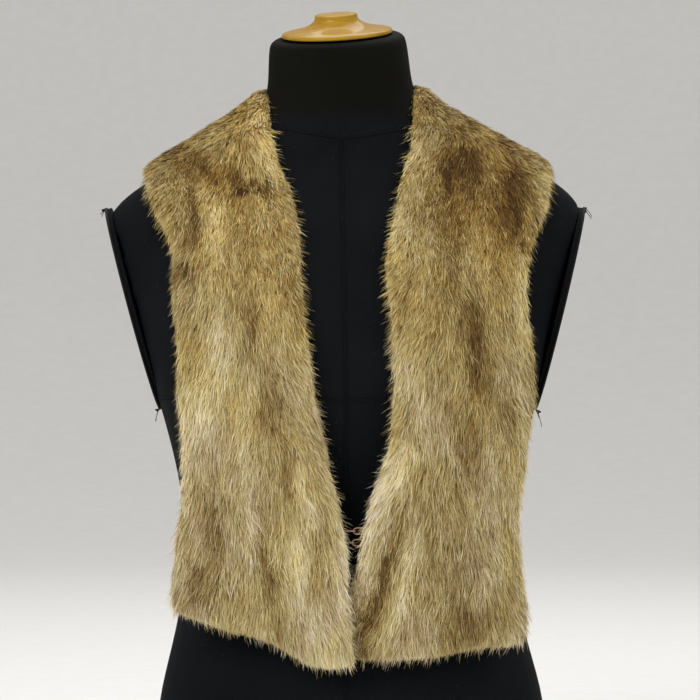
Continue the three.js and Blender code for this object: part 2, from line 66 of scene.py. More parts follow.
# Light and dark places in front view, in millimetres. turn leans the top towards +X, in degrees.
# change is added to the fur's tone, times the patch strength, so below 0 is darker.
Patch = namedtuple("Patch", "x z half_width half_height turn change")
PATCHES = {
    "right_front": [
        (-65, 525, 8, 18, -10, 0.12), (-105, 510, 22, 12, 30, -0.18), (-70, 497, 12, 5, 10, -0.36),
        (-118, 472, 4, 22, -4, -0.20), (-100, 472, 8, 26, 0, 0.12), (-125, 430, 9, 9, 0, -0.16),
        (-78, 452, 9, 22, 0, -0.05), (-72, 392, 5, 25, 0, -0.11), (-38, 405, 7, 30, -8, -0.04),
        (-108, 332, 11, 20, 0, 0.14), (-95, 375, 9, 24, 0, 0.10), (-47, 297, 5, 36, -14, -0.16),
        (-62, 328, 7, 14, -10, -0.08), (-74, 305, 6, 30, -8, 0.10), (-35, 265, 5, 30, -15, 0.12),
        (-96, 240, 9, 28, 0, -0.09), (-120, 290, 6, 32, 0, 0.12), (-74, 235, 5, 32, 0, 0.08),
        (-58, 203, 4, 40, -8, -0.14), (-35, 203, 7, 36, -10, 0.14), (-20, 205, 4, 30, -6, -0.08),
        (-20, 150, 10, 18, 0, 0.06), (-5, 203, 6, 44, 0, 0.12), (-106, 190, 9, 11, 0, -0.16),
        (-90, 184, 8, 9, 0, -0.08), (-12, 130, 14, 8, 0, 0.20), (-110, 163, 16, 5, 22, 0.17),
    ],
    "left_front": [
        (96, 516, 20, 14, 10, -0.15), (80, 512, 4, 17, 0, -0.17), (110, 490, 30, 30, 0, -0.09),
        (132, 488, 8, 27, 0, -0.18), (135, 460, 6, 14, 0, -0.14), (113, 510, 6, 15, 10, 0.10),
        (155, 495, 5, 25, 0, 0.16), (56, 525, 9, 18, 0, 0.14), (43, 460, 7, 36, 5, 0.10),
        (63, 484, 5, 18, 0, -0.08), (82, 445, 6, 32, 0, -0.06), (106, 455, 6, 28, 0, 0.06),
        (98, 392, 9, 22, 0, -0.15), (74, 405, 5, 24, 0, -0.05), (102, 360, 7, 18, 0, -0.12),
        (135, 414, 6, 40, 0, 0.14), (54, 362, 8, 30, 0, 0.09), (46, 290, 11, 18, 20, 0.10),
        (30, 255, 7, 36, 25, 0.20), (62, 250, 6, 24, 10, -0.03), (30, 192, 3, 46, 17, -0.28),
        (20, 205, 5, 20, 15, 0.16), (16, 155, 6, 14, 15, -0.12), (47, 192, 5, 38, 15, 0.18),
        (84, 235, 5, 40, 4, -0.07), (94, 305, 11, 18, 0, -0.10), (112, 250, 9, 40, 0, 0.05),
        (133, 250, 5, 70, 0, 0.10), (94, 163, 11, 14, 0, -0.17), (122, 147, 15, 6, -8, 0.16),
        (60, 134, 22, 6, 0, 0.12), (120, 328, 6, 16, 0, -0.06),
    ],
    "back_yoke": [
        (-65, 550, 11, 16, 0, 0.20), (-128, 515, 18, 10, 35, -0.12), (84, 540, 16, 9, -30, -0.18),
        (114, 523, 20, 8, -30, -0.12),
    ],
}
PATCH_WANDER = (0.0015, 0.0, 0.006)  # how far a lock moves a patch's edge, in metres
MILLIMETRE = 0.001
MERGE_DISTANCE = 0.00001

# Places on the dress form, in metres, with the bust seam's sweep in degrees
FORM_MIDDLE_Y = 0.011
SHOULDER = Numbers(height=0.45, drop=0.06)
SEAM = Numbers(half_gap=0.0014, lift=0.0001, foot=0.006, bend=0.33, low_x=0.001, top_x=-0.003,
               bust=0.329, sweep=(-172, -8), neck_front=0.533, neck_back=0.566)
STITCH = Numbers(count=52, above_seam=0.0035, radius=0.0004, neck_radius=0.062)
PIPING = Numbers(steps=96, inset=0.0004, sink=0.0003)
NECK_BAND_START = 0.545
PLAIN_CREASE = 38  # faces that meet at more degrees than this keep a sharp edge
WIRE_CREASE = 80
# Loose threads: name, how many at each end of an arm plate, length and radius in metres
LOOSE_THREADS = [("thread_stubs", 3, 0.0036, 0.0008), ("thread_ends", 2, 0.0100, 0.00028)]
LOWER_THREADS_ASIDE = 0.012

# Turned outline of the neck cap: radius and height above the neck, in metres
CAP_OUTLINE = [
    (0.0, 0.0), (0.044, 0.0), (0.045, 0.001), (0.045, 0.003), (0.0436, 0.0042), (0.034, 0.0056),
    (0.026, 0.0076), (0.021, 0.01), (0.0182, 0.0124), (0.017, 0.0146), (0.0173, 0.0168),
    (0.0166, 0.0176), (0.0, 0.0176),
]
CAP_STEPS = 40

# The fur side is told by the way out from a core, whose width and depth are shares of the piece's
CORE = Numbers(width=0.25, depth=0.2, limit=-0.35)
NECK_EDGE = Numbers(start=0.495, fade=0.035, facing=3.0)
EDGE_REACH = 0.030  # the edge inset fades out this far into a piece
NEIGHBOUR_REACH = 0.002
UNDERFUR_SLOT = 0
LEATHER_SLOT = 1

# Kinds of hair: steps along a strand, how far its tip closes towards its clump's middle, how much
# paler it is, bristles in a clump at an edge, and what is added to the piece's random seed
HairKind = namedtuple("HairKind", "steps closing paler bristles seed_step")
HAIR_KINDS = {"under": HairKind(2, 0.20, 0.0, 0, 0), "guard": HairKind(3, 0.32, 0.03, 2, 100)}
HAIRS_IN_CLUMP = 4
CLUMP_SPREAD = 0.0013  # metres
CLOSING_CURVE = 1.3

# How the fur varies: lengths and heights in metres, turns and headings in radians, rises in
# degrees, and the rest as shares. lock is what a lock's own chance adds, and hair what a hair's does.
SHORT_FUR = Numbers(start=0.30, fade=0.16, lock_size=0.5, front=0.42, yoke=0.54, longest=1.12)
EDGE_HAIR = Numbers(shortest=0.34, thin_pile=0.002, full_pile=0.0075, overhang=(0.0005, 0.003))
TURN = Numbers(waves=0.8, lock=0.05, clump=0.11, curl=0.14, opening=0.40, outer_edge=0.24)
HEADING = Numbers(base=0.08, shoulder=0.10, edge=0.14)
RISE = Numbers(root=28, tip=5, lock=2, hair=6)
BRISTLE = Numbers(least_room=0.9, to_rim=0.0045, reach=(0.35, 0.85), slant=(0.4, 1.4), rise=0.5,
                  width=0.9, up_limit=1.5)
# TONE.rim over TONE.rim_width is a painted highlight: paler fur along the skin's edge
TONE = Numbers(lift=0.02, shoulder=0.07, lock=0.03, lock_side=0.03, clump=0.045, rim=0.15,
               rim_width=0.007, hair=0.09, light_hairs=0.35, light=0.15, other=-0.05)
WARMTH = Numbers(base=0.33, shoulder=0.31, lock=0.10, hair=0.2)
# Colour factors by place on a ramp: from grey to golden, and from a hair's root to its tip, the root's
# darker factors being painted shade deep in the pile
HUE_STOPS = ((0.0, (1.0, 0.95, 1.30)), (0.5, (0.99, 1.0, 1.0)), (1.0, (1.12, 0.925, 0.58)))
ROOT_SHADE_STOPS = (
    (0.0, (0.36, 0.27, 0.17)), (0.3, (0.76, 0.68, 0.55)), (0.7, (1.0, 1.0, 1.0)),
    (1.0, (1.08, 1.08, 1.08)))

# Lights: name, place and size in metres, and power as a share of the key light's
LIGHTS = [
    ("key light", (-1.7, -2.4, 2.2), 1.5, 1.0), ("fill light", (2.4, -2.0, 1.3), 2.0, 0.42),
    ("top light", (0.3, 1.3, 2.6), 1.6, 0.45),
]
AIM = Vector((0.0, 0.0, 0.35))
CAMERA_X = 0.004
WALL_BEND = 3.5
WALL_TOP = 5.0


def length_setting(name, description, default):
    """A setting in metres."""
    return bpy.props.FloatProperty(
        name=name, description=description, default=default, precision=5, unit="LENGTH")


def colour_setting(name, description, red, green, blue):
    return bpy.props.FloatVectorProperty(
        name=name, description=description, size=4, subtype="COLOR", default=(red, green, blue, 1.0))


class FurSettings(bpy.types.PropertyGroup):
    """Sizes and colours of the fur"""
    guard_length: length_setting("Guard hair", "Length of the long outer hairs", 0.0145)
    under_length: length_setting("Underfur", "Length of the dense short hairs", 0.0112)
    guard_width: length_setting("Guard width", "Width of a guard strand at its root", 0.00046)
    under_width: length_setting("Underfur width", "Width of an underfur strand at its root", 0.00066)
    skin_depth: bpy.props.FloatProperty(
        name="Skin depth", description="Share of the pile's thickness that the strands stand in",
        default=0.27, min=0.0, max=0.8, subtype="FACTOR")
    edge_inset: length_setting("Edge inset", "How far the skin ends inside the fur's edge", 0.0052)
    hem_inset: length_setting("Hem inset", "How far the skin ends above the fur's hem", 0.0022)
    neck_inset: length_setting("Neck inset", "The same inside the fur's edge at the neck", 0.0006)
    patch_strength: bpy.props.FloatProperty(
        name="Patch strength", description="How far the light and dark places stand out", default=1.9)
    lock_width: length_setting("Lock width", "Width of a lock of fur", 0.0085)
    lock_length: length_setting("Lock length", "Length of a lock of fur", 0.0240)
    dark: colour_setting("Darkest", "Colour of the darkest fur", 0.062, 0.029, 0.006)
    brown: colour_setting("Brown", "Colour of the brown bands", 0.200, 0.117, 0.024)
    middle: colour_setting("Middle", "Usual colour of the fur", 0.445, 0.345, 0.128)
    pale: colour_setting("Pale", "Colour of the pale strips", 0.680, 0.590, 0.285)
    cream: colour_setting("Cream", "Colour of the palest tips", 0.880, 0.810, 0.520)
    leather: colour_setting("Leather", "Colour of the skin side", 0.520, 0.400, 0.260)


class FormSettings(bpy.types.PropertyGroup):
    """Sizes and colours of the dress form, its cap and the closures"""
    jersey: colour_setting("Jersey", "Colour of the form's cover", 0.0034, 0.0041, 0.0051)
    neck_band: colour_setting("Neck band", "Colour of the neck's cover", 0.0030, 0.0030, 0.0020)
    black_thread: colour_setting("Black thread", "Colour of the form's threads", 0.0026, 0.0026, 0.0028)
    wood_pale: colour_setting("Pale wood", "Colour between the cap's growth rings", 0.360, 0.218, 0.020)
    wood_dark: colour_setting("Dark wood", "Colour of the cap's growth rings", 0.270, 0.120, 0.006)
    closure_thread: colour_setting(
        "Closure thread", "Colour of the thread round the hooks", 0.620, 0.410, 0.265)
    stitch: length_setting("Stitch", "Length of a hand stitch at the neck", 0.0030)
    ridge: length_setting("Seam ridge", "Radius of a seam's ridge", 0.00060)
    piping: length_setting("Piping", "Radius of the cord round an arm plate", 0.0012)


class StageSettings(bpy.types.PropertyGroup):
    """Backdrop, light and camera"""
    bowl_radius: length_setting("Backdrop radius", "Radius of the round backdrop", 6.5)
    backdrop: colour_setting("Backdrop", "Colour of the floor and backdrop", 0.780, 0.775, 0.760)
    camera_distance: length_setting("Camera distance", "From the camera to the origin, along Y", 2.5891)
    camera_height: length_setting("Camera height", "Height of the camera", 0.367)
    lens: bpy.props.FloatProperty(
        name="Lens", description="Focal length in millimetres", default=166.1)
    key_power: bpy.props.FloatProperty(
        name="Key light", description="Power of the large light from the left, in watts", default=76.0)


def fur_settings():
    return bpy.context.scene.stole_fur


def form_settings():
    return bpy.context.scene.stole_form


def new_object(name, data):
    item = bpy.data.objects.new(name, data)
    bpy.context.scene.collection.objects.link(item)
    return item


def add_piece(name, mesh, materials, replaced=()):
    """Links a finished mesh as a piece that moves with the row's one body."""
    for material in materials:
        mesh.materials.append(material)
    piece = new_object(name, mesh)
    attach(piece, "root")
    if replaced:
        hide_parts(*replaced)
    return piece


def mesh_from(bm, name):
    mesh = bpy.data.meshes.new(name)
    bm.to_mesh(mesh)
    bm.free()
    return mesh


def merged_copy(node):
    """A node's loose triangles as one joined surface."""
    bm = bmesh.new()
    bm.from_mesh(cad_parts[node].data)
    bmesh.ops.remove_doubles(bm, verts=bm.verts, dist=MERGE_DISTANCE)
    bm.normal_update()
    return bm


def quads_from_triangles(bm):
    bmesh.ops.join_triangles(
        bm, faces=bm.faces, angle_face_threshold=math.radians(25),
        angle_shape_threshold=math.radians(50))
    bm.normal_update()


def applied(holder):
    """An object's final form as a plain smooth mesh."""
    bpy.context.view_layer.update()
    evaluated = holder.evaluated_get(bpy.context.evaluated_depsgraph_get())
    mesh = bpy.data.meshes.new_from_object(evaluated)
    bpy.data.objects.remove(holder)
    mesh.shade_smooth()
    return mesh


def smoothed(mesh, levels):
    holder = new_object(mesh.name + "_smooth", mesh)
    modifier = holder.modifiers.new("smooth", "SUBSURF")
    modifier.levels = levels
    modifier.render_levels = levels
    return applied(holder)


def smooth_copy(node, crease_degrees, levels):
    """A node's form, smoothed but for the edges that meet at more than an angle."""
    bm = merged_copy(node)
    quads_from_triangles(bm)
    crease = bm.edges.layers.float.new("crease_edge")
    for edge in bm.edges:
        if len(edge.link_faces) == 2 and edge.calc_face_angle(0.0) > math.radians(crease_degrees):
            edge[crease] = 1.0
    return smoothed(mesh_from(bm, node), levels)


def tree_of(mesh):
    bm = bmesh.new()
    bm.from_mesh(mesh)
    tree = BVHTree.FromBMesh(bm)
    bm.free()
    return tree


def tubes(name, lines, radius, closed=False):
    """Round cords along lines of points, as one mesh with closed ends."""
    curve = bpy.data.curves.new(name, "CURVE")
    curve.dimensions = "3D"
    curve.bevel_depth = radius
    curve.bevel_resolution = 1
    curve.use_fill_caps = True
    for line in lines:
        spline = curve.splines.new("POLY")
        spline.points.add(len(line) - 1)
        for point, place in zip(spline.points, line):
            point.co = (*place, 1.0)
        spline.use_cyclic_u = closed
    return applied(new_object(name, curve))


def nearest_tree(places):
    """A search tree for the place that lies nearest."""
    tree = kdtree.KDTree(len(places))
    for index, place in enumerate(places):
        tree.insert(place, index)
    tree.balance()
    return tree


def turned(outline, steps):
    """A round form about Z from its outline of radius and height."""
    bm = bmesh.new()
    verts = [bm.verts.new((radius, 0.0, height)) for radius, height in outline]
    edges = [bm.edges.new(pair) for pair in zip(verts, verts[1:])]
    bmesh.ops.spin(
        bm, geom=verts + edges, cent=(0, 0, 0), axis=(0, 0, 1), dvec=(0, 0, 0),
        angle=2 * math.pi, steps=steps, use_merge=True)
    bmesh.ops.remove_doubles(bm, verts=bm.verts, dist=MERGE_DISTANCE)
    bmesh.ops.recalc_face_normals(bm, faces=bm.faces)
    return bm


class NodeBench:
    """Places and joins the nodes of one tree."""

    def __init__(self, tree):
        self.tree = tree

    def set_inputs(self, node, inputs):
        for key, value in inputs.items():
            if isinstance(value, bpy.types.NodeSocket):
                self.tree.links.new(value, node.inputs[key])
            else:
                node.inputs[key].default_value = value

    def add(self, kind, inputs=None, **values):
        node = self.tree.nodes.new(kind)
        node.location = (190 * len(self.tree.nodes), 0)
        for key, value in values.items():
            setattr(node, key, value)
        self.set_inputs(node, inputs or {})
        return node

    def math(self, operation, *values, clamp=False):
        inputs = dict(enumerate(values))
        return self.add("ShaderNodeMath", inputs, operation=operation, use_clamp=clamp).outputs[0]

    def ramp(self, value, stops):
        node = self.add("ShaderNodeValToRGB", {"Fac": value})
        elements = node.color_ramp.elements
        while len(elements) < len(stops):
            elements.new(0.5)
        for element, (place, colour) in zip(elements, stops):
            element.position = place
            element.color = (*colour[:3], 1.0)
        return node.outputs["Color"]

    def mix(self, share, first, second, blend="MIX"):
        inputs = {0: share, 6: first, 7: second}
        return self.add("ShaderNodeMix", inputs, data_type="RGBA", blend_type=blend).outputs[2]

    def bump(self, height, strength, distance):
        inputs = {"Height": height, "Strength": strength, "Distance": distance}
        return self.add("ShaderNodeBump", inputs).outputs["Normal"]

    def object_place(self, stretch=(1.0, 1.0, 1.0)):
        place = self.add("ShaderNodeTexCoord").outputs["Object"]
        return self.add("ShaderNodeMapping", {"Vector": place, "Scale": stretch}).outputs[0]

    def noise(self, scale, detail=2.0, stretch=(1.0, 1.0, 1.0)):
        inputs = {"Vector": self.object_place(stretch), "Scale": scale, "Detail": detail}
        return self.add("ShaderNodeTexNoise", inputs).outputs["Fac"]


def shared_material(name, shader_inputs):
    """A material by name. If it isn't there yet, shader_inputs makes its nodes and gives its values."""
    if name in bpy.data.materials:
        return bpy.data.materials[name]
    material = bpy.data.materials.new(name)
    material.use_nodes = True
    bench = NodeBench(material.node_tree)
    bench.set_inputs(material.node_tree.nodes["Principled BSDF"], shader_inputs(bench))
    return material


def new_group(name, inputs, output, output_kind):
    """The bench of a new node group whose inputs are numbers, and the inputs' sockets."""
    group = bpy.data.node_groups.new(name, "ShaderNodeTree")
    for label in inputs:
        group.interface.new_socket(label, in_out="INPUT", socket_type="NodeSocketFloat")
    group.interface.new_socket(output, in_out="OUTPUT", socket_type=output_kind)
    bench = NodeBench(group)
    return bench, bench.add("NodeGroupInput").outputs


def darker(colour, share):
    return tuple(share * value for value in colour[:3]) + (1.0,)


def fur_colour_group():
    """The fur's colour from its tone, its warmth and the place along the hair, with painted shade
    darkening each hair towards its root.
    """
    fur = fur_settings()
    bench, entry = new_group("fur colour", ("Tone", "Along", "Warmth"), "Color", "NodeSocketColor")
    streaks = bench.noise(420.0, stretch=(1.0, 1.0, 0.3))
    fine = bench.math("MULTIPLY_ADD", streaks, 0.24, -0.12)
    tone = bench.math("ADD", entry["Tone"], fine, clamp=True)
    colour = bench.ramp(tone, [
        (0.0, fur.dark), (0.28, fur.brown), (0.52, fur.middle), (0.76, fur.pale), (1.0, fur.cream)])
    colour = bench.mix(1.0, colour, bench.ramp(entry["Warmth"], HUE_STOPS), "MULTIPLY")
    # Painted shade: each hair darker towards its root, deep in the pile
    colour = bench.mix(1.0, colour, bench.ramp(entry["Along"], ROOT_SHADE_STOPS), "MULTIPLY")
    bench.add("NodeGroupOutput", {"Color": colour})
    return bench.tree


def fur_colour(bench, tone, along, warmth):
    group = bpy.data.node_groups.get("fur colour") or fur_colour_group()
    inputs = {"Tone": tone, "Along": along, "Warmth": warmth}
    return bench.add("ShaderNodeGroup", inputs, node_tree=group).outputs["Color"]


def fur_strands(bench):
    values = [
        bench.add("ShaderNodeAttribute", attribute_name=label).outputs["Fac"]
        for label in ("tone", "along", "warmth")]
    return {"Base Color": fur_colour(bench, *values), "Roughness": 0.62, "Specular IOR Level": 0.22}


# The skin's fur side takes the colour of hair near its root: along=0.18 darkens it with painted shade,
# standing in for the shade between the strands
def underfur(bench):
    noise = bench.noise(160.0, detail=3.0)
    return {
        "Base Color": fur_colour(bench, noise, along=0.18, warmth=0.6), "Roughness": 0.95,
        "Normal": bench.bump(noise, strength=0.8, distance=0.001)}


def fur_leather(bench):
    fur = fur_settings()
    grain = bench.noise(900.0, detail=4.0)
    cloud = bench.noise(24.0, detail=3.0)
    return {
        "Base Color": bench.ramp(cloud, [(0.35, darker(fur.leather, 0.78)), (0.65, fur.leather)]),
        "Normal": bench.bump(grain, strength=0.35, distance=0.0004), "Roughness": 0.78}


def black_jersey(bench):
    """Black knit, a little warmer on the neck, with fine lint."""
    form = form_settings()
    place = bench.object_place()
    height = bench.add("ShaderNodeSeparateXYZ", {"Vector": place}).outputs["Z"]
    neck = bench.math("SUBTRACT", height, NECK_BAND_START)
    neck = bench.math("MULTIPLY", neck, 80.0, clamp=True)
    cover = bench.mix(neck, tuple(form.jersey), tuple(form.neck_band))
    cloud = bench.noise(14.0, detail=3.0)
    dust = bench.ramp(cloud, [(0.3, (0.75, 0.75, 0.75)), (0.7, (1.3, 1.3, 1.3))])
    cover = bench.mix(1.0, cover, dust, "MULTIPLY")
    specks = bench.add("ShaderNodeTexVoronoi", {"Vector": place, "Scale": 95.0})
    lint = bench.math("LESS_THAN", specks.outputs["Distance"], 0.035)
    lint = bench.math("MULTIPLY", lint, 0.22)
    knit = bench.add("ShaderNodeTexVoronoi", {
        "Vector": bench.object_place((1.0, 1.0, 0.62)), "Scale": 1500.0})
    return {
        "Base Color": bench.mix(lint, cover, (0.30, 0.29, 0.26, 1.0)), "Roughness": 0.82,
        "Normal": bench.bump(knit.outputs["Distance"], strength=0.45, distance=0.0003),
        "Specular IOR Level": 0.06}


def thread_twist_group():
    """Fine slanting ridges of wound thread."""
    bench, entry = new_group("thread twist", ("Scale",), "Height", "NodeSocketFloat")
    place = bench.add("ShaderNodeTexCoord").outputs["Object"]
    slanting = bench.add("ShaderNodeMapping", {"Vector": place, "Rotation": (0.4, 0.2, 0.5)})
    wave = bench.add("ShaderNodeTexWave", {
        "Vector": slanting.outputs[0], "Scale": entry["Scale"], "Distortion": 1.5})
    bench.add("NodeGroupOutput", {"Height": wave.outputs["Fac"]})
    return bench.tree


def thread_material(name, colour, scale):
    def wound_thread(bench):
        group = bpy.data.node_groups.get("thread twist") or thread_twist_group()
        height = bench.add("ShaderNodeGroup", {"Scale": scale}, node_tree=group).outputs["Height"]
        return {
            # The grooves between the windings are painted darker, at 0.45 of the thread's colour, as
            # painted shade
            "Base Color": bench.ramp(height, [(0.1, darker(colour, 0.45)), (0.7, colour)]),
            "Normal": bench.bump(height, strength=0.6, distance=0.0002), "Roughness": 0.7,
            "Specular IOR Level": 0.2}

    return shared_material(name, wound_thread)


def add_jersey(name, mesh, replaced=()):
    add_piece(name, mesh, [shared_material("black jersey", black_jersey)], replaced)


def add_threads(name, lines, radius, closed=False):
    thread = thread_material("black thread", form_settings().black_thread, scale=900.0)
    add_piece(name, tubes(name, lines, radius, closed), [thread])


def varnished_wood(bench):
    form = form_settings()
    warp = bench.noise(26.0, detail=3.0)
    rings = bench.noise(380.0, detail=4.0, stretch=(0.12, 0.3, 1.0))
    share = bench.math("MULTIPLY_ADD", rings, 0.7, -0.05)
    share = bench.math("MULTIPLY_ADD", warp, 0.55, share, clamp=True)
    fibres = bench.noise(900.0, stretch=(0.12, 0.12, 1.0))
    return {
        "Base Color": bench.ramp(share, [(0.36, form.wood_dark), (0.72, form.wood_pale)]),
        "Normal": bench.bump(fibres, strength=0.12, distance=0.0003), "Roughness": 0.45,
        "Specular IOR Level": 0.03, "Coat Weight": 0.20, "Coat Roughness": 0.09}


def from_outside(tree, places, heights, radial):
    """Points of the form at some heights: in towards its axis at angles, or from the front at x places."""
    line = []
    for place, z in zip(places, heights):
        inwards = Vector((-math.cos(place), -math.sin(place), 0.0) if radial else (0.0, 1.0, 0.0))
        target = Vector((0.0, FORM_MIDDLE_Y, z) if radial else (place, 0.0, z))
        found, normal, _, _ = tree.ray_cast(target - inwards * 0.5, inwards)
        if found is None:
            raise RuntimeError(f"no form surface at height {z:.3f}")
        line.append(found + normal * SEAM.lift)
    return line


def neck_seam_height(angle):
    """The neck seam dips at the front, where the angle is -90 degrees."""
    share = (1.0 + math.sin(angle)) / 2.0
    return SEAM.neck_front + (SEAM.neck_back - SEAM.neck_front) * share ** 0.7


def plate_frame(node):
    """Middle, three axes and half sizes of an arm plate, from its node."""
    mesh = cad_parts[node].data
    places = np.array([vertex.co for vertex in mesh.vertices])
    middle = places.mean(axis=0)
    _, axes = np.linalg.eigh(np.cov((places - middle).T))
    out = axes[:, 0] * np.sign(axes[0, 0] * middle[0])
    ahead = axes[:, 1]
    up = axes[:, 2] * np.sign(axes[2, 2])
    spans = [(places - middle) @ axis for axis in (ahead, up, out)]
    centre = middle + sum(
        axis * (span.max() + span.min()) / 2 for axis, span in zip((ahead, up), spans))
    halves = [(span.max() - span.min()) / 2 for span in spans[:2]]
    rim = spans[2][np.abs(spans[1]) > 0.97 * halves[1]].max()
    return centre + out * rim, ahead, up, out, halves


class STOLE_OT_dress_form(bpy.types.Operator):
    """Covers the dress form's body with smooth black jersey"""
    bl_idname = "stole.dress_form"
    bl_label = "Dress form"

    def execute(self, context):
        add_jersey("dress_form", smooth_copy("form_body", PLAIN_CREASE, 1), ["form_body"])
        return {"FINISHED"}


class STOLE_OT_arm_plates(bpy.types.Operator):
    """Adds the two covered arm plates and the piping round them"""
    bl_idname = "stole.arm_plates"
    bl_label = "Arm plates"

    def execute(self, context):
        for side in ("right", "left"):
            node = side + "_arm_plate"
            add_jersey(side + "_plate_cover", smooth_copy(node, PLAIN_CREASE, 2), [node])
            centre, ahead, up, out, halves = plate_frame(node)
            angles = np.linspace(0, 2 * math.pi, PIPING.steps, endpoint=False)[:, None]
            ring = centre - out * PIPING.sink + turned_towards(
                ahead * (halves[0] - PIPING.inset), up * (halves[1] - PIPING.inset), angles)
            add_threads(side + "_plate_piping", [ring], form_settings().piping, closed=True)
        return {"FINISHED"}


class STOLE_OT_form_seams(bpy.types.Operator):
    """Sews the form's seams, the stitches at the neck and the loose thread ends"""
    bl_idname = "stole.form_seams"
    bl_label = "Form seams and threads"

    def execute(self, context):
        form = form_settings()
        tree = tree_of(bpy.data.objects["dress_form"].data)
        add_jersey("form_seams", tubes("form_seams", self.seam_lines(tree), form.ridge))
        add_threads("neck_stitches", self.stitch_lines(tree, form.stitch), STITCH.radius)
        rng = np.random.default_rng(5)
        for name, count, length, radius in LOOSE_THREADS:
            add_threads(name, self.loose_ends(rng, count, length), radius)
        return {"FINISHED"}

    def seam_lines(self, tree):
        """Two ridges down the front and two across the bust, and one round the neck."""
        lines = []
        for beside in (-SEAM.half_gap, SEAM.half_gap):
            heights = np.linspace(SEAM.foot, SEAM.neck_front, 90)
            share = share_of((heights - SEAM.bend) / (SEAM.neck_front - SEAM.bend))
            x = SEAM.low_x + (SEAM.top_x - SEAM.low_x) * share
            lines.append(from_outside(tree, x + beside, heights, False))
            angles = np.radians(np.linspace(*SEAM.sweep, 110))
            level = np.full(len(angles), SEAM.bust + beside)
            lines.append(from_outside(tree, angles, level, True))
        lines.append(self.along_neck(tree, np.radians(np.linspace(0, 360, 121)), 0.0))
        return lines

    def along_neck(self, tree, angles, above_seam):
        heights = [neck_seam_height(angle) + above_seam for angle in angles]
        return from_outside(tree, angles, heights, True)

    def stitch_lines(self, tree, length):
        half = length / 2 / STITCH.neck_radius
        middles = np.linspace(0, 2 * math.pi, STITCH.count, endpoint=False)
        return [self.along_neck(tree, (middle - half, middle, middle + half), STITCH.above_seam)
                for middle in middles]

    def loose_ends(self, rng, count, length):
        """Curled thread ends at the top and bottom of each arm plate."""
        lines = []
        for node in ("right_arm_plate", "left_arm_plate"):
            centre, ahead, up, out, halves = plate_frame(node)
            for turn in (1, -1):
                aside = ahead * np.sign(ahead[1]) * LOWER_THREADS_ASIDE * (turn < 0)
                start = centre + up * turn * halves[1] - aside
                for _ in range(count):
                    heading = out * rng.uniform(0.4, 0.9) - up * rng.uniform(-0.1, 0.9)
                    heading = heading + ahead * rng.uniform(-0.6, 0.6)
                    curl = np.cross(heading, ahead) * rng.uniform(-0.4, 0.4)
                    reach = length * rng.uniform(0.7, 1.3)
                    lines.append([
                        start + heading * reach * t + curl * reach * t * t
                        for t in np.linspace(0, 1, 7)])
        return lines


class STOLE_OT_neck_cap(bpy.types.Operator):
    """Turns the varnished wooden cap on the neck"""
    bl_idname = "stole.neck_cap"
    bl_label = "Neck cap"

    def execute(self, context):
        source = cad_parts["form_cap"].data
        under = [face for face in source.polygons if face.normal.z < -0.8]
        area = sum(face.area for face in under)
        axis = -sum((face.normal * face.area for face in under), Vector()).normalized()
        seat = sum((face.center * face.area for face in under), Vector()) / area
        bm = turned(CAP_OUTLINE, CAP_STEPS)
        turn = Vector((0, 0, 1)).rotation_difference(axis).to_matrix().to_4x4()
        bm.transform(Matrix.Translation(seat) @ turn)
        wood = shared_material("varnished wood", varnished_wood)
        add_piece("neck_cap", smoothed(mesh_from(bm, "neck_cap"), 2), [wood], ["form_cap"])
        return {"FINISHED"}


class STOLE_OT_closures(bpy.types.Operator):
    """Winds thread round the two fastened hooks and eyes"""
    bl_idname = "stole.closures"
    bl_label = "Hooks and eyes"

    def execute(self, context):
        thread = thread_material("closure thread", form_settings().closure_thread, scale=1400.0)
        for node in ("hook_upper", "eye_upper", "hook_lower", "eye_lower"):
            mesh = smooth_copy(node, WIRE_CREASE, 1)
            add_piece(node + "_wound", mesh, [thread], [node])
        return {"FINISHED"}


def faces_fur_side(face):
    """Whether a face of a fur piece looks away from the form or sideways, and not at the form."""
    centre = face.calc_center_median()
    drop = SHOULDER.drop if centre.z > SHOULDER.height else 0.0
    core_y = FORM_MIDDLE_Y + CORE.depth * (centre.y - FORM_MIDDLE_Y)
    core = Vector((CORE.width * centre.x, core_y, centre.z - drop))
    return face.normal.dot((centre - core).normalized()) > CORE.limit


def leather_tree(bm):
    bm.verts.index_update()
    inner = [face for face in bm.faces if face.material_index == LEATHER_SLOT]
    corners = [[vert.index for vert in face.verts] for face in inner]
    return BVHTree.FromPolygons([vert.co for vert in bm.verts], corners)


class Rim:
    """The free edge of a fur piece: its places, and the way out at each."""

    def __init__(self, normals_at):
        self.outward = np.array([sum(normals, Vector()).normalized() for normals in normals_at.values()])
        self.places = np.array(list(normals_at))
        self.tree = nearest_tree(self.places)
        self.insets = self.find_insets()

    def find_insets(self):
        """How far the skin ends inside the edge at each place: less at the hem and round the neck."""
        fur = fur_settings()
        downward = np.maximum(-self.outward[:, 2], 0) ** 2
        insets = fur.edge_inset + (fur.hem_inset - fur.edge_inset) * downward
        inwards = -dot(unit(from_axis(self.places)), self.outward)[:, 0]
        height = share_of((self.places[:, 2] - NECK_EDGE.start) / NECK_EDGE.fade)
        return insets + (fur.neck_inset - insets) * share_of(NECK_EDGE.facing * inwards) * height

    def shift(self, place):
        """Move of a vertex that takes the edge inwards and fades out into the piece."""
        _, index, distance = self.tree.find(place)
        share = max(0.0, 1.0 - distance / EDGE_REACH) ** 1.5
        return Vector(-self.outward[index] * self.insets[index] * share)

    def seen_from(self, places):
        """The way out at the nearest edge place, and how far off the skin's edge is along it."""
        nearest = np.array([self.tree.find(place)[1] for place in places])
        outward = self.outward[nearest]
        return outward, dot(self.places[nearest] - places, outward)[:, 0] - self.insets[nearest]


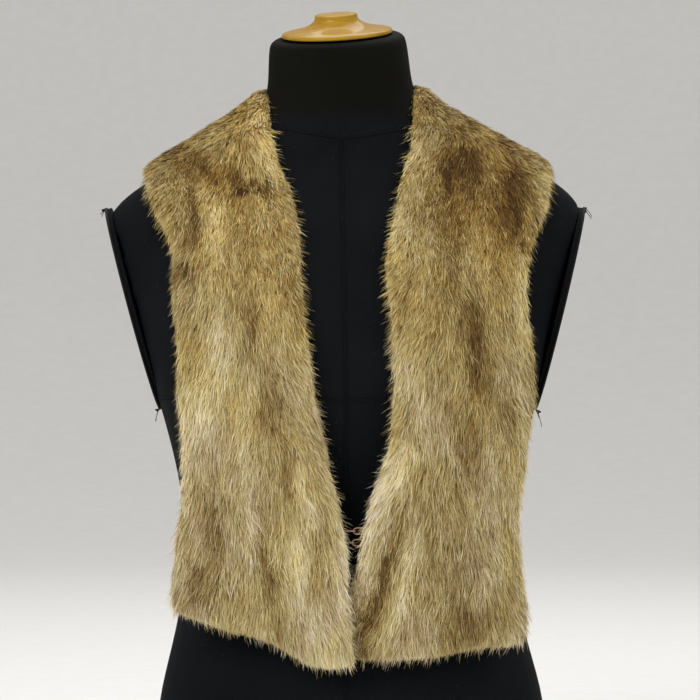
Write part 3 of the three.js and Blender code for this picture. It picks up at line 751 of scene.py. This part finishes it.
def make_skin(node, neighbours):
    """The thin skin that the strands grow from, the search tree of its leather side, and its rim."""
    fur = fur_settings()
    bm = merged_copy(node)
    for face in bm.faces:
        face.material_index = UNDERFUR_SLOT if faces_fur_side(face) else LEATHER_SLOT
    leather = leather_tree(bm)
    inner = {vert for face in bm.faces if face.material_index == LEATHER_SLOT for vert in face.verts}
    normals_at = {}
    for face in bm.faces:
        if face.material_index == LEATHER_SLOT:
            continue
        centre = face.calc_center_median()
        if any(tree.ray_cast(centre, face.normal, NEIGHBOUR_REACH)[0] for tree in neighbours):
            face.material_index = LEATHER_SLOT
        elif any(vert in inner for vert in face.verts):
            for vert in face.verts:
                place = vert.co.copy().freeze()
                normals_at.setdefault(place, []).append(face.normal * face.calc_area())
    rim = Rim(normals_at)
    for vert in bm.verts:
        move = rim.shift(vert.co)
        if vert not in inner:
            vert.co = vert.co.lerp(leather.find_nearest(vert.co)[0], fur.skin_depth)
        vert.co += move
    quads_from_triangles(bm)
    return smoothed(mesh_from(bm, node + "_skin"), 1), leather, rim


def values_of(items, name, width, kind=np.float64):
    """A value of all of a mesh's items as an array, a row for each item."""
    values = np.empty(len(items) * width, dtype=kind)
    items.foreach_get(name, values)
    return values.reshape(-1, width)


def fur_triangles(mesh):
    """Corners and corner normals of the skin's fur side, and each triangle's area."""
    mesh.calc_loop_triangles()
    polygon = values_of(mesh.loop_triangles, "polygon_index", 1, np.int32)[:, 0]
    slots = values_of(mesh.polygons, "material_index", 1, np.int32)[polygon, 0]
    triangles = values_of(mesh.loop_triangles, "vertices", 3, np.int32)[slots == UNDERFUR_SLOT]
    corners = values_of(mesh.vertices, "co", 3)[triangles]
    corner_normals = values_of(mesh.vertex_normals, "vector", 3)[triangles]
    doubled = np.cross(corners[:, 1] - corners[:, 0], corners[:, 2] - corners[:, 0])
    return corners, corner_normals, np.linalg.norm(doubled, axis=1) / 2


def unit(vectors):
    return vectors / np.maximum(np.linalg.norm(vectors, axis=-1, keepdims=True), 1e-9)


def share_of(values):
    """Values as shares from 0 to 1."""
    return np.clip(values, 0, 1)


def turned_towards(first, second, angle):
    return first * np.cos(angle) + second * np.sin(angle)


def dot(first, second):
    return (first * second).sum(axis=1, keepdims=True)


def from_axis(places):
    """Level ways from the form's upright axis to some places."""
    return (places - (0.0, FORM_MIDDLE_Y, 0.0)) * (1.0, 1.0, 0.0)


def scatter(rng, skin, count):
    """Random places on the fur side, with the normal at each."""
    corners, normals, area = skin
    chosen = rng.choice(len(area), count, p=area / area.sum())
    pair = rng.random((2, count, 1))
    a, b = np.where(pair.sum(axis=0) > 1, 1 - pair, pair)
    weights = np.stack([1 - a - b, a, b], axis=1)
    places = (weights * corners[chosen]).sum(axis=1)
    return places, unit((weights * normals[chosen]).sum(axis=1))


def lie_of_fur(node, places, up):
    """Direction in which the fur lies: down the fronts, and outwards and down on the shoulders."""
    around = unit(from_axis(places))
    lie = np.array([0.0, 0.0, -1.0]) + (0.40 if node == "back_yoke" else 0.0) * around
    outwards = dot(lie, up)
    under = share_of(2.5 * outwards - 1.2)
    lie = lie - outwards * np.where(outwards > 0, 0.85, 1.0) * up
    return unit(lie - 0.6 * under * around)


def wander(places):
    """Slow turns of the lie over the skin, in radians."""
    x, y, z = places.T
    return (0.16 * np.sin(71 * x + 38 * z + 1.3) + 0.12 * np.sin(122 * z - 55 * x + 31 * y)
            + 0.09 * np.sin(163 * x + 90 * y - 47 * z + 0.6))


def mottling(places):
    """Slow changes of tone, for all sides alike."""
    x, y, z = places.T
    wide = np.sin(150 * x + 5 * np.sin(17 * z + 0.5) + 60 * y)
    narrow = np.sin(390 * x + 7 * np.sin(23 * z) + 140 * y + 1.0)
    spots = np.sin(83 * x + 29 * z + 2.0) * np.sin(44 * z - 71 * y + 0.7)
    return 0.035 * wide + 0.035 * narrow + 0.025 * spots


def warm_zones(places):
    """Slow changes between golden and greyer fur, for all sides alike."""
    x, y, z = places.T
    return (0.13 * np.sin(64 * x + 4 * np.sin(15 * z + 1.0) + 40 * y)
            + 0.09 * np.sin(52 * z - 35 * x + 0.8) * np.sin(110 * x + 30 * z))


def patch_tone(node, places, up):
    """Listed light and dark places, on what looks to the front."""
    facing = share_of(-1.6 * up[:, 1])
    if node == "back_yoke":
        facing = share_of(0.5 - 40 * (places[:, 1] - FORM_MIDDLE_Y))
    change = np.zeros(len(places))
    for patch in map(Patch._make, PATCHES[node]):
        turn = math.radians(patch.turn)
        dx = places[:, 0] / MILLIMETRE - patch.x
        dz = places[:, 2] / MILLIMETRE - patch.z
        across = (dx * math.cos(turn) - dz * math.sin(turn)) / patch.half_width
        along = (dx * math.sin(turn) + dz * math.cos(turn)) / patch.half_height
        change += patch.change * np.exp(-0.7 * (across ** 2 + along ** 2) ** 1.2)
    return fur_settings().patch_strength * change * facing


def edge_splay(node, places, mesh):
    """Turn of the lie towards the nearer side edge of a front, in radians."""
    if node == "back_yoke":
        return np.zeros(len(places))
    points = np.array([vertex.co for vertex in mesh.vertices])
    levels = np.arange(points[:, 2].min(), points[:, 2].max(), 0.012)
    near = [points[np.abs(points[:, 2] - level) < 0.014, 0] for level in levels]
    low = np.interp(places[:, 2], levels, [x.min() for x in near])
    high = np.interp(places[:, 2], levels, [x.max() for x in near])
    toward_x = 1 if node == "right_front" else -1
    opening = 0.5 + toward_x * ((places[:, 0] - low) / (high - low) - 0.5)
    splay = TURN.opening * share_of((opening - 0.42) / 0.5) ** 1.3
    splay -= TURN.outer_edge * share_of((0.30 - opening) / 0.3)
    return toward_x * splay


def length_at_edge(places, leather):
    """Share of the hair's usual length: less where the pile thins towards an edge."""
    edge = EDGE_HAIR
    depth = np.array([leather.find_nearest(Vector(place))[3] for place in places])
    share = (depth - edge.thin_pile) / (edge.full_pile - edge.thin_pile)
    return np.clip(edge.shortest + (1 - edge.shortest) * share, edge.shortest, 1.0)


def room_above(places, up, covers, full):
    """Share of the hair's usual length that fits under a piece lying over it."""
    room = np.ones(len(places))
    for index, (place, normal) in enumerate(zip(places, up)):
        for tree in covers:
            distance = tree.ray_cast(Vector(place), Vector(normal), full)[3]
            if distance is not None:
                room[index] = max(0.3, distance / full)
    return room


def locks_of(rng, skin, places, width, length):
    """For each place, the lock that it belongs to: its middle, and the lock's own random numbers."""
    count = int(skin[2].sum() / (width * length))
    seeds, _ = scatter(rng, skin, count)
    scale = np.array([1 / width, 1 / width, 1 / length])
    tree = nearest_tree(seeds * scale)
    lock = np.array([tree.find(place)[1] for place in places * scale])
    chance = rng.normal(0, 1, (count, 3))
    return seeds[lock], chance[lock]


def place_clumps(pelt, rng, count, length):
    """Arrays by name, a row for each clump of hair: its place and axes, its room and its colour."""
    fur = fur_settings()
    node = pelt.piece.node
    places, up = scatter(rng, pelt.skin, count)
    lie = lie_of_fur(node, places, up)
    across = unit(np.cross(lie, up))
    high = share_of((places[:, 2] - SHORT_FUR.start) / SHORT_FUR.fade)
    aside = np.zeros(count)
    chance = np.zeros((count, 3))
    for share, size in ((1 - high, 1.0), (high, SHORT_FUR.lock_size)):
        width = size * fur.lock_width
        middle, lock_chance = locks_of(rng, pelt.skin, places, width, size * fur.lock_length)
        aside += share * dot(places - middle, across)[:, 0] / width
        chance += share[:, None] * lock_chance
    long = length_at_edge(places, pelt.leather)
    at_edge = share_of((1 - long) / 0.6)
    turn = TURN.waves * wander(places) + TURN.lock * chance[:, 0] + rng.normal(0, TURN.clump, count)
    turn -= TURN.curl * (1 - at_edge) * np.clip(aside, -1, 1)
    splay = edge_splay(node, places, pelt.mesh) * (1 - 0.7 * at_edge)
    turn = (turn + np.sign(across[:, 0]) * splay)[:, None]
    lie, across = turned_towards(lie, across, turn), turned_towards(across, -lie, turn)
    room = room_above(places, up, pelt.covers, length)
    outward, to_rim = pelt.rim.seen_from(places)
    tone = pelt.piece.tone + TONE.lift - TONE.shoulder * high
    tone += patch_tone(node, places + chance * PATCH_WANDER, up) + mottling(places)
    tone += TONE.lock * chance[:, 1] - TONE.lock_side * share_of(np.abs(aside) - 0.25)
    # Painted highlight: paler fur within TONE.rim_width of the skin's edge, as light scattering through
    # the fringe
    tone += rng.normal(0, TONE.clump, count) + TONE.rim * share_of(1 - to_rim / TONE.rim_width)
    shorter = SHORT_FUR.yoke if node == "back_yoke" else SHORT_FUR.front
    return Numbers(
        places=places, up=up, lie=lie, across=across, chance=chance, room=room, outward=outward,
        to_rim=to_rim, tone=tone, reach=room * long * (SHORT_FUR.longest - shorter * high),
        spread=HEADING.base + HEADING.shoulder * high + HEADING.edge * at_edge,
        warmth=WARMTH.base + WARMTH.shoulder * high + WARMTH.lock * chance[:, 0] + warm_zones(places))


def hair_paths(rng, hairs, kind, length):
    """Points along each strand from its root, and whether it is a bristle at an edge."""
    total = len(hairs.places)
    beside = rng.normal(0, CLUMP_SPREAD, (total, 2, 1))
    offset = hairs.across * beside[:, 0] + hairs.lie * beside[:, 1]
    heading = (rng.normal(0, 1, total) * hairs.spread)[:, None]
    lie = turned_towards(hairs.lie, hairs.across, heading)
    reach = length * np.clip(rng.normal(1, 0.2, total), 0.5, 1.5) * hairs.reach
    root_rise = RISE.root + RISE.lock * hairs.chance[:, 2] + rng.normal(0, RISE.hair, total)
    first = np.radians(root_rise) * hairs.room
    last = np.radians(RISE.tip + rng.normal(0, RISE.hair, total))
    leaving = np.maximum(dot(lie, hairs.outward)[:, 0], 0.05)
    limit = (np.maximum(hairs.to_rim, 0) + rng.uniform(*EDGE_HAIR.overhang, total)) / leaving
    reach = np.minimum(reach, np.maximum(limit, 0.3 * length))
    bristle = np.arange(total) % HAIRS_IN_CLUMP < kind.bristles
    bristle &= (hairs.to_rim < BRISTLE.to_rim) & (hairs.room > BRISTLE.least_room)
    bristle &= rng.random(total) > BRISTLE.up_limit * hairs.outward[:, 2]
    reach = np.where(bristle, length * rng.uniform(*BRISTLE.reach, total), reach)
    slant = rng.uniform(*BRISTLE.slant, total)[:, None] * hairs.outward
    lie = np.where(bristle[:, None], unit(lie + slant), lie)
    first = np.where(bristle, BRISTLE.rise * first, first)
    sway = rng.normal(0, 0.12, total)
    points = [hairs.places + offset]
    for index in range(kind.steps):
        share = index / (kind.steps - 1)
        rise = (first + (last - first) * share)[:, None]
        step = turned_towards(lie, hairs.up, rise) * reach[:, None] / kind.steps
        aside = hairs.across * (sway * reach / kind.steps * share)[:, None]
        points.append(points[-1] + step + aside)
    closing = kind.closing * np.linspace(0, 1, kind.steps + 1) ** CLOSING_CURVE
    return np.stack(points, axis=1) - offset[:, None, :] * closing[None, :, None], bristle


def hair_ribbons(rng, hairs, bristle, width):
    """From each strand's middle to its side at the root, and its normal for shading."""
    total = len(bristle)
    roll = rng.normal(0, 0.55, total)[:, None]
    side = turned_towards(hairs.across, hairs.up, roll)
    ribbon_normal = unit(np.cross(side, hairs.lie))
    shading = unit(0.62 * hairs.up + 0.38 * ribbon_normal)
    half = width / 2 * rng.uniform(0.75, 1.25, total) * np.where(bristle, BRISTLE.width, 1)
    return side * half[:, None], shading


def grow(pelt, kind_name):
    """One mesh of tapering strands. kind_name is under or guard."""
    fur = fur_settings()
    kind = HAIR_KINDS[kind_name]
    rng = np.random.default_rng(pelt.piece.seed + kind.seed_step)
    length = getattr(fur, kind_name + "_length")
    count = getattr(pelt.piece, kind_name + "_count")
    clumps = place_clumps(pelt, rng, count // HAIRS_IN_CLUMP, length)
    hairs = Numbers(**{
        name: np.repeat(values, HAIRS_IN_CLUMP, axis=0) for name, values in vars(clumps).items()})
    path, bristle = hair_paths(rng, hairs, kind, length)
    half, shading = hair_ribbons(rng, hairs, bristle, getattr(fur, kind_name + "_width"))
    tone = hairs.tone + kind.paler + rng.normal(0, TONE.hair, len(path))
    if kind_name == "guard":
        tone += np.where(rng.random(len(path)) < TONE.light_hairs, TONE.light, TONE.other)
    warmth = hairs.warmth + rng.normal(0, WARMTH.hair, len(path))
    return strands_mesh(f"{pelt.piece.node}_{kind_name}", path, half, shading, tone, warmth)


def strands_mesh(name, path, half, shading, tone, warmth):
    """Each strand as a tapering strip with a pointed end, in its own cell of the UV map."""
    total, rows, _ = path.shape
    share = np.linspace(0, 1, rows)
    aside = half[:, None] * (1 - 0.5 * share[:-1])[None, :, None]
    pairs = np.stack([path[:, :-1] - aside, path[:, :-1] + aside], axis=2).reshape(total, -1, 3)
    places = np.concatenate([pairs, path[:, -1:]], axis=1)
    corners = places.shape[1]
    faces = [[2 * row, 2 * row + 1, 2 * row + 3, 2 * row + 2] for row in range(rows - 2)]
    faces.append([corners - 3, corners - 2, corners - 1])
    one_strand = np.concatenate(faces)
    sizes = np.array([len(face) for face in faces])
    loops = (np.arange(total)[:, None] * corners + one_strand).ravel()
    starts = np.concatenate([[0], np.cumsum(np.tile(sizes, total))[:-1]])

    mesh = bpy.data.meshes.new(name)
    mesh.vertices.add(total * corners)
    mesh.vertices.foreach_set("co", places.astype(np.float32).ravel())
    mesh.loops.add(len(loops))
    mesh.loops.foreach_set("vertex_index", loops.astype(np.int32))
    mesh.polygons.add(len(starts))
    mesh.polygons.foreach_set("loop_start", starts.astype(np.int32))
    mesh.update(calc_edges=True)

    corner_along = np.append(np.repeat(share[:-1], 2), 1.0)
    corner_side = np.append(np.tile([0.0, 1.0], rows - 1), 0.5)
    for label, values in (
            ("tone", np.repeat(tone, corners)), ("warmth", np.repeat(warmth, corners)),
            ("along", np.tile(corner_along, total))):
        attribute = mesh.attributes.new(label, "FLOAT", "POINT")
        attribute.data.foreach_set("value", values.astype(np.float32))
    cells = math.ceil(math.sqrt(total))
    cell = np.stack([np.arange(total) % cells, np.arange(total) // cells], axis=1)[:, None]
    inside = np.stack([0.15 + 0.7 * corner_side, 0.1 + 0.8 * corner_along], axis=1)[None]
    uv = ((cell + inside) / cells).reshape(-1, 2)[loops]
    layer = mesh.uv_layers.new(name="OFBake")
    layer.data.foreach_set("uv", uv.astype(np.float32).ravel())
    mesh.shade_smooth()
    mesh.normals_split_custom_set_from_vertices(np.repeat(shading, corners, axis=0).tolist())
    return mesh


class STOLE_OT_fur(bpy.types.Operator):
    """Makes the skins of the stole and grows the underfur and guard hair on them"""
    bl_idname = "stole.fur"
    bl_label = "Fur pieces"

    def execute(self, context):
        trees = {piece.node: tree_of(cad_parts[piece.node].data) for piece in FUR_PIECES}
        strands = shared_material("fur strands", fur_strands)
        skin_materials = [
            shared_material("underfur", underfur), shared_material("fur leather", fur_leather)]
        for piece in FUR_PIECES:
            others = [tree for node, tree in trees.items() if node != piece.node]
            skin_mesh, leather, rim = make_skin(piece.node, others)
            pelt = Pelt(piece, skin_mesh, leather, rim, fur_triangles(skin_mesh), others)
            for kind_name in HAIR_KINDS:
                mesh = grow(pelt, kind_name)
                add_piece(mesh.name, mesh, [strands])
            skin = add_piece(piece.node + "_pelt", skin_mesh, skin_materials, [piece.node])
        return {"FINISHED"}


class STOLE_OT_stage(bpy.types.Operator):
    """Sets the pale backdrop, the soft lights and the camera"""
    bl_idname = "stole.stage"
    bl_label = "Stage"

    def execute(self, context):
        stage = context.scene.stole_stage
        self.backdrop(stage)
        for name, place, size, share in LIGHTS:
            self.light(name, Vector(place), size, share * stage.key_power)
        world = bpy.data.worlds.new("studio")
        world.use_nodes = True
        background = world.node_tree.nodes["Background"]
        background.inputs["Color"].default_value = (1.0, 0.985, 0.96, 1.0)
        background.inputs["Strength"].default_value = 0.62
        context.scene.world = world
        camera = bpy.data.cameras.new("camera")
        camera.lens = stage.lens
        camera.sensor_width = 36.0
        camera.clip_end = 100.0
        holder = new_object("camera", camera)
        holder.location = (CAMERA_X, -stage.camera_distance, stage.camera_height)
        holder.rotation_euler = (math.radians(90), 0.0, 0.0)
        context.scene.camera = holder
        context.scene.view_settings.view_transform = "Standard"
        return {"FINISHED"}

    def backdrop(self, stage):
        """A flat floor that curves up into a round wall."""
        outline = [(0.0, 0.0), (1.0, 0.0)]
        for step in range(13):
            angle = math.pi / 2 * step / 12
            radius = stage.bowl_radius - WALL_BEND + WALL_BEND * math.sin(angle)
            outline.append((radius, WALL_BEND - WALL_BEND * math.cos(angle)))
        outline.append((stage.bowl_radius, WALL_TOP))
        mesh = mesh_from(turned(outline, 96), "backdrop")
        mesh.shade_smooth()
        mesh.materials.append(shared_material("backdrop paper", self.paper))
        new_object("backdrop", mesh)

    def paper(self, bench):
        colour = bpy.context.scene.stole_stage.backdrop
        grain = bench.noise(40.0)
        return {
            "Base Color": bench.ramp(grain, [(0.3, darker(colour, 0.97)), (0.7, colour)]),
            "Roughness": 0.9}

    def light(self, name, place, size, power):
        lamp = bpy.data.lights.new(name, "AREA")
        lamp.size = size
        lamp.energy = power
        holder = new_object(name, lamp)
        holder.location = place
        holder.rotation_euler = (AIM - place).to_track_quat("-Z", "Y").to_euler()


class STOLE_PT_panel(bpy.types.Panel):
    """Lists the settings and the steps"""
    bl_label = "Fur collar stole"
    bl_idname = "STOLE_PT_panel"
    bl_space_type = "VIEW_3D"
    bl_region_type = "UI"
    bl_category = "Stole"

    def draw(self, context):
        for group in ("stole_fur", "stole_form", "stole_stage"):
            box = self.layout.box()
            values = getattr(context.scene, group)
            for name in values.__annotations__:
                box.prop(values, name)
        for operator in OPERATORS:
            self.layout.operator(operator.bl_idname)


OPERATORS = (
    STOLE_OT_dress_form,
    STOLE_OT_arm_plates,
    STOLE_OT_form_seams,
    STOLE_OT_neck_cap,
    STOLE_OT_closures,
    STOLE_OT_fur,
    STOLE_OT_stage,
)
GROUPS = {
    "stole_fur": FurSettings,
    "stole_form": FormSettings,
    "stole_stage": StageSettings,
}


def register():
    for cls in (*GROUPS.values(), *OPERATORS, STOLE_PT_panel):
        bpy.utils.register_class(cls)
    for name, cls in GROUPS.items():
        setattr(bpy.types.Scene, name, bpy.props.PointerProperty(type=cls))


def unregister():
    for name in GROUPS:
        delattr(bpy.types.Scene, name)
    for cls in reversed((*GROUPS.values(), *OPERATORS, STOLE_PT_panel)):
        bpy.utils.unregister_class(cls)


def main():
    register()
    bpy.ops.stole.dress_form()
    bpy.ops.stole.arm_plates()
    bpy.ops.stole.form_seams()
    bpy.ops.stole.neck_cap()
    bpy.ops.stole.closures()
    bpy.ops.stole.fur()
    bpy.ops.stole.stage()


if __name__ == "__main__":
    main()
